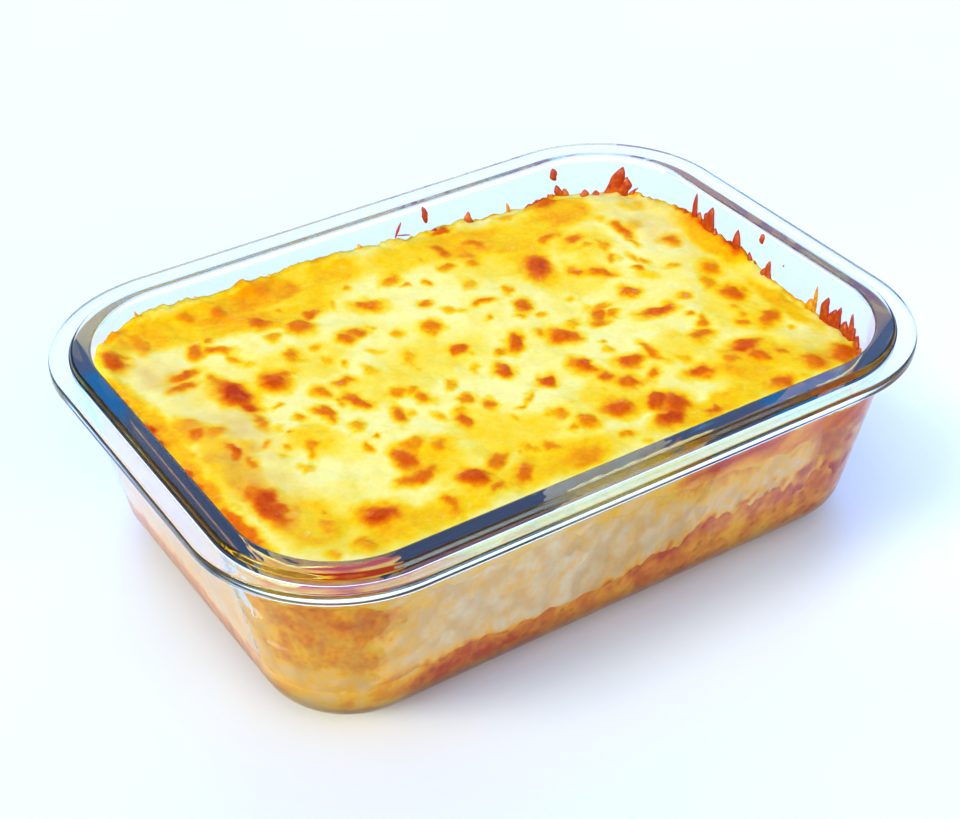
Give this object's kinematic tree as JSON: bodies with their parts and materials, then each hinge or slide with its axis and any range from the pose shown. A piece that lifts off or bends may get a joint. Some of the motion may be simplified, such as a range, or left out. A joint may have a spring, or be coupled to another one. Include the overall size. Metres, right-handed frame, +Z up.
{
  "type": "baked pasta in glass dish",
  "caption": "Baked pasta in a clear rectangular glass dish with a flanged rim: meat and tomato sauce, pasta in white sauce and a browned melted cheese top.",
  "frame": {"origin": "centre of the dish's flat base, on the surface that it stands on", "axes": "+X along the long side of the dish, +Y along its short side, +Z up"},
  "size_m": [0.205, 0.15, 0.058],
  "materials": {
    "clear_glass": "clear pressed glass, smooth and glossy",
    "tomato_meat_sauce": "orange-brown meat and tomato sauce, oily where it meets the glass",
    "pasta_white_sauce": "pale cream pasta in white sauce, moist",
    "browned_cheese": "melted cheese, pale lemon to golden yellow with many red-brown browned spots, satin"
  },
  "bodies": {
    "root": {"glass_dish": "clear_glass", "sauce_layer": "tomato_meat_sauce", "pasta_layer": "pasta_white_sauce", "cheese_layer": "browned_cheese"}
  },
  "joints": []
}
